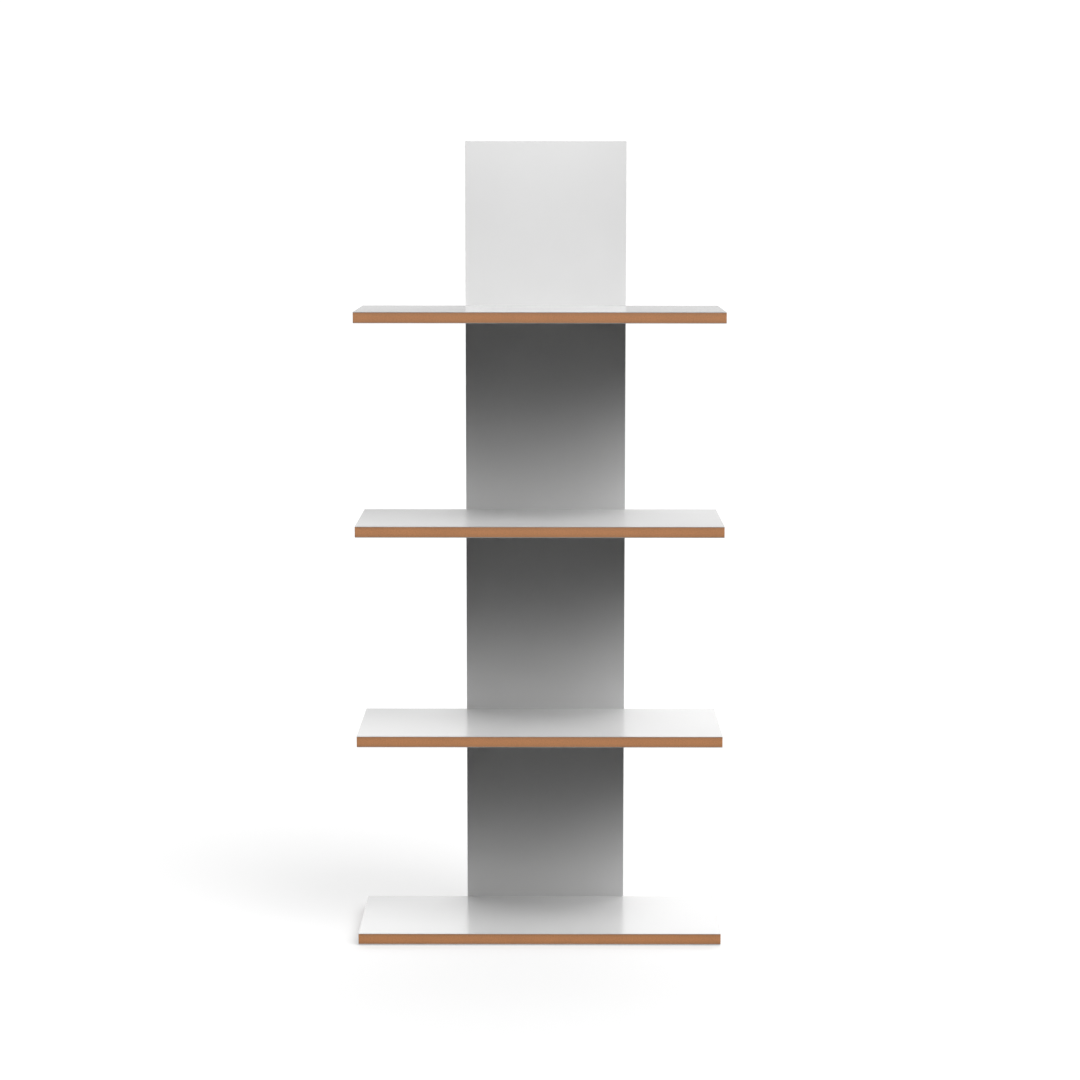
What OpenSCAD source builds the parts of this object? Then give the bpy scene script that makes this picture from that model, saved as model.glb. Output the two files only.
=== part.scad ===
// Free-standing display shelf: one narrow upright back panel, with three
// shelves and a base board of one size butted against its front face.
// Units are millimetres. +X is to the right, +Y is to the back, +Z is up.
// The origin is the middle of the footprint, on the floor.

/* [Boards] */
// Thickness of every board, faces included
board_t = 18; // [16:1:25]
// Thickness of the white laminate on each face
skin_t = 0.8; // [0.6:0.1:1.2]
// Width of the shelves and of the base
shelf_w = 600; // [450:5:900]
// Depth of the shelves and of the base
shelf_d = 230; // [180:5:320]
// Radius of the boards' eased corners
corner_r = 1; // [0.5:0.5:4]

/* [Back panel] */
// Width of the upright back panel
panel_w = 271; // [240:1:340]
// Sideways offset of the panel's middle from the shelves' middle
panel_offset = 9; // [-20:1:20]
// Height of the panel above the top shelf
header_h = 275; // [60:5:400]

/* [Levels] */
// Rise from the base's upper face to the lower shelf's upper face
lower_rise = 333; // [200:1:450]
// Rise from each shelf's upper face to the next one's
shelf_rise = 347; // [200:1:450]

/* [Connecting screws] */
// Thread diameter of the screws
screw_d = 6.9; // [6:0.1:6.9]
// Length of the screws, head included
screw_l = 50; // [45:5:60]
// Diameter of the countersunk head
head_d = 10; // [9:0.5:11]
// Distance of the outer screws from the panel's middle
screw_outer = 105; // [90:1:110]
// Distance of the inner screws from the panel's middle
screw_inner = 35; // [20:1:50]

/* [Dowels] */
// Diameter of the dowels
dowel_d = 7.9; // [5.9:0.1:7.9]
// Length of the dowels
dowel_l = 30; // [25:1:35]
// Distance of the dowels from the panel's middle
dowel_x = 70; // [60:1:80]

/* [Glides] */
// Height of the glides that the unit stands on
glide_h = 2; // [2:0.5:6]
// Diameter of the glides under the base
glide_d = 20; // [16:1:30]
// Diameter of the glides under the panel's lower end
panel_glide_d = 14; // [10:1:15]
// Inset of the base's glides from its edges
glide_inset = 28; // [20:1:45]
// Distance of the panel's glides from the panel's middle
panel_glide_x = 95; // [60:1:110]

/* [Hidden] */

$fn = 64;
eps = 0.01;

// Faces of the four level boards, counted from the floor.
z_base = glide_h + board_t;
z_lower = z_base + lower_rise;
z_middle = z_lower + shelf_rise;
z_top = z_middle + shelf_rise;
levels = [z_base, z_lower, z_middle, z_top];
panel_top = z_top + header_h;

// The boards' rear edges meet the panel's front face, at y_face.
y_front = -(shelf_d + board_t) / 2;
y_face = y_front + shelf_d;
y_back = y_face + board_t;
panel_x = [panel_offset - panel_w / 2, panel_offset + panel_w / 2];

// Fixings: four screws and two dowels hold each level.
screw_xs = [for (s = [-screw_outer, -screw_inner, screw_inner, screw_outer]) panel_offset + s];
dowel_xs = [for (s = [-dowel_x, dowel_x]) panel_offset + s];
screw_bore_r = 3.5;
dowel_bore_r = 4;
screw_head_y = y_back - 0.1;
screw_hole_end = screw_head_y - screw_l - 2.5;
dowel_in_panel = 11.5;
dowel_relief = 1;

// Head of a screw: a short rim, then a cone down to the shank.
head_rim = 0.8;
head_cone = 3;
// Plain shank under the head, then the thread.
shank_l = 12;
thread_pitch = 3;
thread_core_r = 2.5;

// Glides and their nails.
base_glide_xy = [for (sx = [-1, 1], sy = [-1, 1])
    [sx * (shelf_w / 2 - glide_inset), (y_front + y_face) / 2 + sy * (shelf_d / 2 - glide_inset)]];
panel_glide_xy = [for (s = [-1, 1]) [panel_offset + s * panel_glide_x, y_back - board_t / 2]];
nail_l = 16;
nail_r = 0.95;
nail_bore_r = 1;
nail_head_r = 2.4;
nail_head_t = 0.7;
nail_z = glide_h * 0.3;

function board_colour() = [0.69, 0.49, 0.34];
function skin_colour() = [0.95, 0.95, 0.94];
function steel_colour() = [0.72, 0.73, 0.74];
function beech_colour() = [0.86, 0.70, 0.49];
function nylon_colour() = [0.90, 0.90, 0.88];

// A rectangle with eased corners, its lower left corner at the origin.
module eased_rect(w, h) {
    translate([corner_r, 0]) square([w - 2 * corner_r, h]);
    translate([0, corner_r]) square([w, h - 2 * corner_r]);
    for (x = [corner_r, w - corner_r], y = [corner_r, h - corner_r])
        translate([x, y]) circle(r = corner_r);
}

// A slab of a level board between two heights.
module level_slab(z0, z1) {
    translate([-shelf_w / 2, y_front, z0]) linear_extrude(z1 - z0) eased_rect(shelf_w, shelf_d);
}

// A straight round hole along Y at one height.
module y_hole(x, z, y0, y1, r) {
    translate([x, y1, z]) rotate([90, 0, 0]) cylinder(r = r, h = y1 - y0);
}

// Holes for the glide nails, straight up.
module nail_holes(points, z0, z1) {
    for (p = points) translate([p[0], p[1], z0]) cylinder(r = nail_bore_r, h = z1 - z0);
}

// Core of a level board, with the blind edge holes for its fixings.
module level_core(z) {
    zm = z - board_t / 2;
    difference() {
        level_slab(z - board_t + skin_t, z - skin_t);
        for (x = screw_xs) y_hole(x, zm, screw_hole_end, y_face + 1, screw_bore_r);
        for (x = dowel_xs)
            y_hole(x, zm, y_face + dowel_in_panel - dowel_l - dowel_relief, y_face + 1, dowel_bore_r);
    }
}

// Core of the base: a level core that also takes the glide nails.
module base_board_core() {
    difference() {
        level_core(z_base);
        nail_holes(base_glide_xy, 0, nail_z + nail_l + 1);
    }
}

module level_upper_laminate(z) {
    level_slab(z - skin_t, z);
}

module level_lower_laminate(z) {
    level_slab(z - board_t, z - board_t + skin_t);
}

// A sheet of the panel between two depths.
module panel_slab(y0, y1) {
    translate([panel_x[0], y1, glide_h]) rotate([90, 0, 0])
        linear_extrude(y1 - y0) eased_rect(panel_w, panel_top - glide_h);
}

// Countersunk clearance hole for one screw, through the panel from its back.
module screw_clearance(x, z) {
    translate([x, y_back + 1, z]) rotate([90, 0, 0]) {
        cylinder(r = head_d / 2 + 0.1, h = 1 + 0.1 + head_rim);
        translate([0, 0, 1 + 0.1 + head_rim - eps])
            cylinder(r1 = head_d / 2 + 0.1, r2 = screw_bore_r + 0.05, h = head_cone + 0.1);
        cylinder(r = screw_bore_r + 0.05, h = board_t + 2);
    }
}

module panel_holes() {
    for (z = levels) {
        zm = z - board_t / 2;
        for (x = screw_xs) screw_clearance(x, zm);
        for (x = dowel_xs)
            y_hole(x, zm, y_face - 1, y_face + dowel_in_panel + dowel_relief, dowel_bore_r);
    }
    nail_holes(panel_glide_xy, 0, nail_z + nail_l + 1);
}

module back_panel_core() {
    color(board_colour()) difference() {
        panel_slab(y_face + skin_t, y_back - skin_t);
        panel_holes();
    }
}

module back_panel_front_laminate() {
    color(skin_colour()) difference() {
        panel_slab(y_face, y_face + skin_t);
        panel_holes();
    }
}

module back_panel_rear_laminate() {
    color(skin_colour()) difference() {
        panel_slab(y_back - skin_t, y_back);
        panel_holes();
    }
}

// The profile of a connecting screw, head at the origin, length along +Y.
function screw_profile(r, l, n) = concat(
    [[0, 0], [head_d / 2 - 0.2, 0], [head_d / 2, 0.2], [head_d / 2, head_rim],
     [r, head_rim + head_cone], [r, shank_l + head_rim]],
    [for (i = [0:n - 1], k = [0:2])
        let (y = shank_l + head_rim + i * thread_pitch)
        k == 0 ? [thread_core_r, y + 0.9] :
        k == 1 ? [thread_core_r, y + 1.9] : [r, y + 2.8]],
    [[thread_core_r, shank_l + head_rim + n * thread_pitch + 0.9],
     [thread_core_r, l - 3], [0.8, l], [0, l]]);

// One connecting screw, its head facing +Y.
module screw(x, z) {
    n = floor((screw_l - shank_l - head_rim - 6) / thread_pitch);
    translate([x, screw_head_y, z]) rotate([90, 0, 0]) difference() {
        rotate_extrude() polygon(screw_profile(screw_d / 2, screw_l, n));
        // Four millimetre hexagon socket with a drilled bottom
        translate([0, 0, -1]) cylinder(r = 2 / cos(30), h = 1 + 3.2, $fn = 6);
        translate([0, 0, 3.2 - eps]) cylinder(r1 = 1.8, r2 = 0, h = 0.9);
    }
}

module level_screws(z) {
    for (x = screw_xs) screw(x, z - board_t / 2);
}

// One fluted dowel with chamfered ends, along Y.
module dowel(x, z) {
    r = dowel_d / 2;
    translate([x, y_face + dowel_in_panel, z]) rotate([90, 0, 0]) difference() {
        rotate_extrude() polygon([[0, 0], [r - 0.8, 0], [r, 1], [r, dowel_l - 1],
                                  [r - 0.8, dowel_l], [0, dowel_l]]);
        for (a = [0:30:330]) rotate([0, 0, a]) translate([r + 0.12, 0, -1])
            rotate([0, 0, 45]) translate([-0.3, -0.3, 0]) cube([0.6, 0.6, dowel_l + 2]);
    }
}

module level_dowels(z) {
    for (x = dowel_xs) dowel(x, z - board_t / 2);
}

// A nylon glide: a low disc with a rounded-off foot and a seat for its nail.
module glide(p, d) {
    translate([p[0], p[1], 0]) rotate_extrude() polygon([
        [nail_bore_r, glide_h], [nail_bore_r, nail_z + nail_head_t],
        [nail_head_r + 0.1, nail_z + nail_head_t], [nail_head_r + 0.1, nail_z * 0.5],
        [nail_head_r + 0.4, 0], [d / 2 - 1.2, 0], [d / 2 - 0.5, glide_h * 0.15],
        [d / 2 - 0.1, glide_h * 0.45], [d / 2, glide_h * 0.75], [d / 2, glide_h]]);
}

// A flat-headed nail, driven upwards.
module nail(p) {
    translate([p[0], p[1], nail_z]) rotate_extrude() polygon([
        [0, 0], [nail_head_r - 0.2, 0], [nail_head_r, 0.2], [nail_head_r, nail_head_t],
        [nail_r, nail_head_t], [nail_r, nail_l - 2], [0, nail_l]]);
}

module top_shelf_core() { color(board_colour()) level_core(z_top); }
module top_shelf_upper_laminate() { color(skin_colour()) level_upper_laminate(z_top); }
module top_shelf_lower_laminate() { color(skin_colour()) level_lower_laminate(z_top); }
module middle_shelf_core() { color(board_colour()) level_core(z_middle); }
module middle_shelf_upper_laminate() { color(skin_colour()) level_upper_laminate(z_middle); }
module middle_shelf_lower_laminate() { color(skin_colour()) level_lower_laminate(z_middle); }
module lower_shelf_core() { color(board_colour()) level_core(z_lower); }
module lower_shelf_upper_laminate() { color(skin_colour()) level_upper_laminate(z_lower); }
module lower_shelf_lower_laminate() { color(skin_colour()) level_lower_laminate(z_lower); }
module base_core() { color(board_colour()) base_board_core(); }
module base_upper_laminate() { color(skin_colour()) level_upper_laminate(z_base); }
module base_lower_laminate() {
    color(skin_colour()) difference() {
        level_lower_laminate(z_base);
        nail_holes(base_glide_xy, 0, z_base);
    }
}
module top_shelf_screws() { color(steel_colour()) level_screws(z_top); }
module middle_shelf_screws() { color(steel_colour()) level_screws(z_middle); }
module lower_shelf_screws() { color(steel_colour()) level_screws(z_lower); }
module base_screws() { color(steel_colour()) level_screws(z_base); }
module top_shelf_dowels() { color(beech_colour()) level_dowels(z_top); }
module middle_shelf_dowels() { color(beech_colour()) level_dowels(z_middle); }
module lower_shelf_dowels() { color(beech_colour()) level_dowels(z_lower); }
module base_dowels() { color(beech_colour()) level_dowels(z_base); }
module base_glides() { color(nylon_colour()) for (p = base_glide_xy) glide(p, glide_d); }
module panel_glides() { color(nylon_colour()) for (p = panel_glide_xy) glide(p, panel_glide_d); }
module glide_nails() { color(steel_colour()) for (p = concat(base_glide_xy, panel_glide_xy)) nail(p); }

back_panel_core();
back_panel_front_laminate();
back_panel_rear_laminate();
top_shelf_core();
top_shelf_upper_laminate();
top_shelf_lower_laminate();
middle_shelf_core();
middle_shelf_upper_laminate();
middle_shelf_lower_laminate();
lower_shelf_core();
lower_shelf_upper_laminate();
lower_shelf_lower_laminate();
base_core();
base_upper_laminate();
base_lower_laminate();
top_shelf_screws();
middle_shelf_screws();
lower_shelf_screws();
base_screws();
top_shelf_dowels();
middle_shelf_dowels();
lower_shelf_dowels();
base_dowels();
base_glides();
panel_glides();
glide_nails();
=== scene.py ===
import math

import bpy
from mathutils import Matrix, Vector


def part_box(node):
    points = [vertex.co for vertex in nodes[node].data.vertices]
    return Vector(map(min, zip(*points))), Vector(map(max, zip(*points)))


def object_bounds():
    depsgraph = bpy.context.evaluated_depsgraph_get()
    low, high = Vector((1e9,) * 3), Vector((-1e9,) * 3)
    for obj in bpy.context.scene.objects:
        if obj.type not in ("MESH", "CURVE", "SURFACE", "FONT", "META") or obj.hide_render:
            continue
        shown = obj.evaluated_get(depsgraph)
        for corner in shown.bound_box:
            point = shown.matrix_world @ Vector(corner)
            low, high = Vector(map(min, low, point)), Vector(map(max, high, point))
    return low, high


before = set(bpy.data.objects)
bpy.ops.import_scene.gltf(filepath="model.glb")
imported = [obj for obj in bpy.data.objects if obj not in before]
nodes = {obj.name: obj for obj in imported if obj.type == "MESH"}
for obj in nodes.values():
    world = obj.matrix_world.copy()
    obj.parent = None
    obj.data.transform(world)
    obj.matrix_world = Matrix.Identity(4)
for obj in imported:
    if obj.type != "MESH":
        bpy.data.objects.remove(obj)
cad_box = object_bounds()
scene = bpy.context.scene

LEVELS = ("top_shelf", "middle_shelf", "lower_shelf", "base")
lo, hi = cad_box
front_y = lo.y


# ---------------------------------------------------------------- camera
def make_camera():
    data = bpy.data.cameras.new("camera")
    data.sensor_width = 36.0
    data.lens = 36.0 * 2594.6 / 1080.0
    data.shift_x = -0.01026
    data.shift_y = -0.0019
    data.clip_start = 0.05
    data.clip_end = 200.0
    cam = bpy.data.objects.new("camera", data)
    scene.collection.objects.link(cam)
    turn = Matrix.Rotation(math.radians(90.0 - 7.762), 4, "X") @ Matrix.Rotation(math.radians(0.050), 4, "Z")
    cam.matrix_world = Matrix.Translation((0.0185, front_y - 4.1698, 1.2502)) @ turn
    scene.camera = cam
    return cam


make_camera()

# ---------------------------------------------------------------- shader helpers
def new_material(name):
    m = bpy.data.materials.new(name)
    m.use_nodes = True
    t = m.node_tree
    t.nodes.clear()
    out = t.nodes.new("ShaderNodeOutputMaterial")
    bsdf = t.nodes.new("ShaderNodeBsdfPrincipled")
    t.links.new(bsdf.outputs["BSDF"], out.inputs["Surface"])
    return m, t, bsdf


def node(t, kind, **values):
    n = t.nodes.new(kind)
    for k, v in values.items():
        if k in n.inputs:
            n.inputs[k].default_value = v
        else:
            setattr(n, k, v)
    return n


def ramp(t, stops, interpolation="LINEAR"):
    n = t.nodes.new("ShaderNodeValToRGB")
    n.color_ramp.interpolation = interpolation
    e = n.color_ramp.elements
    while len(e) < len(stops):
        e.new(0.5)
    for item, (pos, col) in zip(e, stops):
        item.position = pos
        item.color = (*col, 1.0) if len(col) == 3 else col
    return n


def lin(r, g, b):
    """sRGB 0-255 to linear."""
    def f(v):
        v /= 255.0
        return v / 12.92 if v <= 0.04045 else ((v + 0.055) / 1.055) ** 2.4
    return (f(r), f(g), f(b))


# ---------------------------------------------------------------- materials
def laminate():
    m, t, b = new_material("white_laminate")
    coords = node(t, "ShaderNodeTexCoord")
    # broad unevenness of the white, over a hand's width
    broad = node(t, "ShaderNodeTexNoise", Scale=9.0, Detail=2.0, Roughness=0.5)
    t.links.new(coords.outputs["Object"], broad.inputs["Vector"])
    white = ramp(t, [(0.30, (0.736, 0.736, 0.735)), (0.70, (0.748, 0.748, 0.747))])
    t.links.new(broad.outputs["Fac"], white.inputs["Fac"])
    t.links.new(white.outputs["Color"], b.inputs["Base Color"])
    # fine pearl of the press plate
    pearl = node(t, "ShaderNodeTexNoise", Scale=900.0, Detail=3.0, Roughness=0.6)
    t.links.new(coords.outputs["Object"], pearl.inputs["Vector"])
    rough = node(t, "ShaderNodeMapRange")
    rough.inputs["From Min"].default_value = 0.3
    rough.inputs["From Max"].default_value = 0.7
    rough.inputs["To Min"].default_value = 0.19
    rough.inputs["To Max"].default_value = 0.25
    t.links.new(pearl.outputs["Fac"], rough.inputs["Value"])
    t.links.new(rough.outputs["Result"], b.inputs["Roughness"])
    bump = node(t, "ShaderNodeBump", Strength=0.02, Distance=0.0001)
    t.links.new(pearl.outputs["Fac"], bump.inputs["Height"])
    t.links.new(bump.outputs["Normal"], b.inputs["Normal"])
    b.inputs["IOR"].default_value = 1.5
    return m


def fibreboard(name, axis):
    """Bare edge of a fibreboard; axis is the board's thickness, 'Y' or 'Z'."""
    m, t, b = new_material(name)
    coords = node(t, "ShaderNodeTexCoord")
    split = node(t, "ShaderNodeSeparateXYZ")
    t.links.new(coords.outputs["Generated"], split.inputs["Vector"])
    # density falls from the faces to the middle of the thickness
    across = ramp(t, [(0.0, (0.0,) * 3), (0.12, (0.55,) * 3), (0.35, (1.0,) * 3), (0.65, (1.0,) * 3), (0.88, (0.55,) * 3), (1.0, (0.0,) * 3)])
    t.links.new(split.outputs[axis], across.inputs["Fac"])
    fibre = node(t, "ShaderNodeTexNoise", Scale=420.0, Detail=5.0, Roughness=0.7)
    t.links.new(coords.outputs["Object"], fibre.inputs["Vector"])
    cloud = node(t, "ShaderNodeTexNoise", Scale=16.0, Detail=3.0, Roughness=0.55)
    t.links.new(coords.outputs["Object"], cloud.inputs["Vector"])
    base = ramp(t, [(0.0, lin(163, 115, 78)), (1.0, lin(188, 130, 85))])
    t.links.new(across.outputs["Color"], base.inputs["Fac"])
    speck = ramp(t, [(0.30, (0.80,) * 3), (0.55, (1.0,) * 3), (0.75, (1.07,) * 3)])
    t.links.new(fibre.outputs["Fac"], speck.inputs["Fac"])
    mul = node(t, "ShaderNodeMix", data_type="RGBA", blend_type="MULTIPLY")
    mul.inputs[0].default_value = 1.0
    t.links.new(base.outputs["Color"], mul.inputs[6])
    t.links.new(speck.outputs["Color"], mul.inputs[7])
    tone = ramp(t, [(0.3, (0.96,) * 3), (0.7, (1.04,) * 3)])
    t.links.new(cloud.outputs["Fac"], tone.inputs["Fac"])
    mul2 = node(t, "ShaderNodeMix", data_type="RGBA", blend_type="MULTIPLY")
    mul2.inputs[0].default_value = 1.0
    t.links.new(mul.outputs[2], mul2.inputs[6])
    t.links.new(tone.outputs["Color"], mul2.inputs[7])
    t.links.new(mul2.outputs[2], b.inputs["Base Color"])
    rough = ramp(t, [(0.3, (0.50,) * 3), (0.7, (0.62,) * 3)])
    t.links.new(fibre.outputs["Fac"], rough.inputs["Fac"])
    t.links.new(rough.outputs["Color"], b.inputs["Roughness"])
    bump = node(t, "ShaderNodeBump", Strength=0.25, Distance=0.0002)
    t.links.new(fibre.outputs["Fac"], bump.inputs["Height"])
    t.links.new(bump.outputs["Normal"], b.inputs["Normal"])
    return m


def zinc():
    m, t, b = new_material("zinc_steel")
    coords = node(t, "ShaderNodeTexCoord")
    n = node(t, "ShaderNodeTexNoise", Scale=1400.0, Detail=4.0, Roughness=0.6)
    t.links.new(coords.outputs["Object"], n.inputs["Vector"])
    c = ramp(t, [(0.3, (0.56, 0.58, 0.61)), (0.7, (0.70, 0.71, 0.72))])
    t.links.new(n.outputs["Fac"], c.inputs["Fac"])
    t.links.new(c.outputs["Color"], b.inputs["Base Color"])
    r = ramp(t, [(0.3, (0.24,) * 3), (0.7, (0.38,) * 3)])
    t.links.new(n.outputs["Fac"], r.inputs["Fac"])
    t.links.new(r.outputs["Color"], b.inputs["Roughness"])
    b.inputs["Metallic"].default_value = 1.0
    bump = node(t, "ShaderNodeBump", Strength=0.1, Distance=0.0001)
    t.links.new(n.outputs["Fac"], bump.inputs["Height"])
    t.links.new(bump.outputs["Normal"], b.inputs["Normal"])
    return m


def beech():
    m, t, b = new_material("beech")
    coords = node(t, "ShaderNodeTexCoord")
    mapping = node(t, "ShaderNodeMapping")
    mapping.inputs["Scale"].default_value = (900.0, 60.0, 900.0)
    t.links.new(coords.outputs["Object"], mapping.inputs["Vector"])
    n = node(t, "ShaderNodeTexNoise", Scale=1.0, Detail=4.0, Roughness=0.6)
    t.links.new(mapping.outputs["Vector"], n.inputs["Vector"])
    c = ramp(t, [(0.30, lin(196, 154, 108)), (0.55, lin(218, 182, 136)), (0.75, lin(228, 196, 152))])
    t.links.new(n.outputs["Fac"], c.inputs["Fac"])
    t.links.new(c.outputs["Color"], b.inputs["Base Color"])
    b.inputs["Roughness"].default_value = 0.6
    bump = node(t, "ShaderNodeBump", Strength=0.2, Distance=0.0002)
    t.links.new(n.outputs["Fac"], bump.inputs["Height"])
    t.links.new(bump.outputs["Normal"], b.inputs["Normal"])
    return m


def nylon():
    m, t, b = new_material("nylon")
    coords = node(t, "ShaderNodeTexCoord")
    n = node(t, "ShaderNodeTexNoise", Scale=700.0, Detail=3.0, Roughness=0.5)
    t.links.new(coords.outputs["Object"], n.inputs["Vector"])
    c = ramp(t, [(0.3, (0.62, 0.62, 0.60)), (0.7, (0.68, 0.68, 0.66))])
    t.links.new(n.outputs["Fac"], c.inputs["Fac"])
    t.links.new(c.outputs["Color"], b.inputs["Base Color"])
    r = ramp(t, [(0.3, (0.42,) * 3), (0.7, (0.52,) * 3)])
    t.links.new(n.outputs["Fac"], r.inputs["Fac"])
    t.links.new(r.outputs["Color"], b.inputs["Roughness"])
    return m


white = laminate()
edge_level = fibreboard("fibreboard_level", "Z")
edge_panel = fibreboard("fibreboard_panel", "Y")
steel = zinc()
wood = beech()
plastic = nylon()


def give(name, material):
    o = nodes[name]
    o.data.materials.clear()
    o.data.materials.append(material)
    return o


def arris(o, width):
    """Takes the sharpness off a board's edges."""
    w = o.modifiers.new("weld", "WELD")
    w.merge_threshold = 0.00001
    b = o.modifiers.new("arris", "BEVEL")
    b.width = width
    b.segments = 2
    b.limit_method = "ANGLE"
    b.angle_limit = math.radians(50)
    b.harden_normals = False
    b.miter_outer = "MITER_ARC"


for level in LEVELS:
    arris(give(level + "_core", edge_level), 0.0001)
    for face in ("upper", "lower"):
        arris(give(f"{level}_{face}_laminate", white), 0.00018)
    give(level + "_screws", steel)
    give(level + "_dowels", wood)
arris(give("back_panel_core", edge_panel), 0.0001)
for face in ("front", "rear"):
    arris(give(f"back_panel_{face}_laminate", white), 0.00018)
give("base_glides", plastic)
give("panel_glides", plastic)
give("glide_nails", steel)

# ---------------------------------------------------------------- stage and light
def make_floor():
    """White sweep: bright enough to meet the white surround, with soft shadows."""
    half = 30.0
    mesh = bpy.data.meshes.new("floor")
    mesh.from_pydata([(-half, -half, 0), (half, -half, 0), (half, half, 0), (-half, half, 0)], [], [(0, 1, 2, 3)])
    floor = bpy.data.objects.new("floor", mesh)
    scene.collection.objects.link(floor)
    # the sweep is seen, but throws no light back up under the boards
    floor.visible_diffuse = False
    floor.visible_glossy = False
    m, t, b = new_material("pale_floor")
    b.inputs["Base Color"].default_value = (0.48, 0.48, 0.48, 1)
    b.inputs["Roughness"].default_value = 1.0
    b.inputs["Specular IOR Level"].default_value = 0.0
    b.inputs["Emission Color"].default_value = (1, 1, 1, 1)
    b.inputs["Emission Strength"].default_value = 0.50
    mesh.materials.append(m)


# Soft sources of the dome: azimuth from the back clockwise seen from above,
# elevation, half angle where it fades out, and radiance at its middle.
SOURCES = (
    (133.0, 55.0, 38.0, 4.80),  # key, high on the front right
    (133.0, 42.0, 34.0, 2.60),
    (0.0, 40.0, 40.0, 2.76),  # rims behind, for the sheen on the boards
    (45.0, 30.0, 36.0, 2.90),
    (315.0, 30.0, 36.0, 1.65),
    (0.0, 18.0, 26.0, 0.42),
)
FILL = 0.09
SURROUND = 1.06


def make_world():
    world = bpy.data.worlds.new("studio")
    scene.world = world
    world.use_nodes = True
    t = world.node_tree
    t.nodes.clear()

    def calc(op, a, b=None):
        n = t.nodes.new("ShaderNodeMath")
        n.operation = op
        for socket, v in zip(n.inputs, (a, b)):
            if isinstance(v, (int, float)):
                socket.default_value = v
            elif v is not None:
                t.links.new(v, socket)
        return n.outputs[0]

    def fade(value, zero, one):
        n = t.nodes.new("ShaderNodeMapRange")
        n.interpolation_type = "SMOOTHSTEP"
        n.inputs["From Min"].default_value = zero
        n.inputs["From Max"].default_value = one
        t.links.new(value, n.inputs["Value"])
        return n.outputs["Result"]

    coords = t.nodes.new("ShaderNodeTexCoord")
    up = t.nodes.new("ShaderNodeSeparateXYZ")
    t.links.new(coords.outputs["Generated"], up.inputs["Vector"])

    def soft_source(azimuth, elevation, half_angle, radiance):
        az, el = math.radians(azimuth), math.radians(elevation)
        dot = t.nodes.new("ShaderNodeVectorMath")
        dot.operation = "DOT_PRODUCT"
        t.links.new(coords.outputs["Generated"], dot.inputs[0])
        dot.inputs[1].default_value = (math.cos(el) * math.sin(az), math.cos(el) * math.cos(az), math.sin(el))
        angle = calc("ARCCOSINE", calc("MINIMUM", dot.outputs["Value"], 1.0))
        return calc("MULTIPLY", fade(angle, math.radians(half_angle), 0.0), radiance)

    sky = FILL
    for source in SOURCES:
        sky = calc("ADD", soft_source(*source), sky)
    sky = calc("MULTIPLY", sky, fade(up.outputs["Z"], 0.0, 0.2))
    dome = t.nodes.new("ShaderNodeBackground")
    t.links.new(sky, dome.inputs["Strength"])
    white_surround = t.nodes.new("ShaderNodeBackground")
    white_surround.inputs["Strength"].default_value = SURROUND
    for n in (dome, white_surround):
        n.inputs["Color"].default_value = (1, 1, 1, 1)
    path = t.nodes.new("ShaderNodeLightPath")
    mix = t.nodes.new("ShaderNodeMixShader")
    out = t.nodes.new("ShaderNodeOutputWorld")
    t.links.new(path.outputs["Is Camera Ray"], mix.inputs["Fac"])
    t.links.new(dome.outputs["Background"], mix.inputs[1])
    t.links.new(white_surround.outputs["Background"], mix.inputs[2])
    t.links.new(mix.outputs["Shader"], out.inputs["Surface"])


def aim_lamp(name, data, place, towards, receivers):
    """Adds a lamp that falls on the named CAD nodes only."""
    lamp = bpy.data.objects.new(name, data)
    scene.collection.objects.link(lamp)
    lamp.location = place
    lamp.rotation_euler = Vector(towards).to_track_quat("-Z", "Y").to_euler()
    lamp.visible_camera = False
    lit = bpy.data.collections.new(name + "_falls_on")
    for receiver in receivers:
        lit.objects.link(nodes[receiver])
    lamp.light_linking.receiver_collection = lit


def make_softbox(name, place, aim, size_x, size_y, watts, receivers):
    data = bpy.data.lights.new(name, "AREA")
    data.shape = "RECTANGLE"
    data.size, data.size_y = size_x, size_y
    data.energy = watts
    aim_lamp(name, data, place, Vector(aim) - Vector(place), receivers)


def make_edge_fill(strength, receivers):
    """Broad light from the front for the bare board edges."""
    data = bpy.data.lights.new("edge_fill", "SUN")
    data.energy = strength
    data.angle = math.radians(70.0)
    aim_lamp("edge_fill", data, (0.0, front_y - 3.0, 1.5), (-0.10, 1.0, -0.30), receivers)


panel_lo, panel_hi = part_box("back_panel_core")
panel_x = (panel_lo[0] + panel_hi[0]) / 2
panel_face = panel_lo[1]
make_floor()
make_world()
# two softboxes close to the panel's upper end, one overhead and one in front
aim = (panel_x, panel_face, hi.z - 0.122)
panel_front = ["back_panel_front_laminate"]
make_softbox("overhead", (panel_x, panel_face - 0.406, hi.z + 0.528), aim, 0.50, 0.25, 1.95, panel_front)
make_softbox("front", (panel_x, panel_face - 0.606, hi.z + 0.278), aim, 0.40, 0.20, 1.95, panel_front)
make_edge_fill(1.80, [level + "_core" for level in LEVELS])

scene.view_settings.view_transform = "Standard"
scene.view_settings.look = "None"
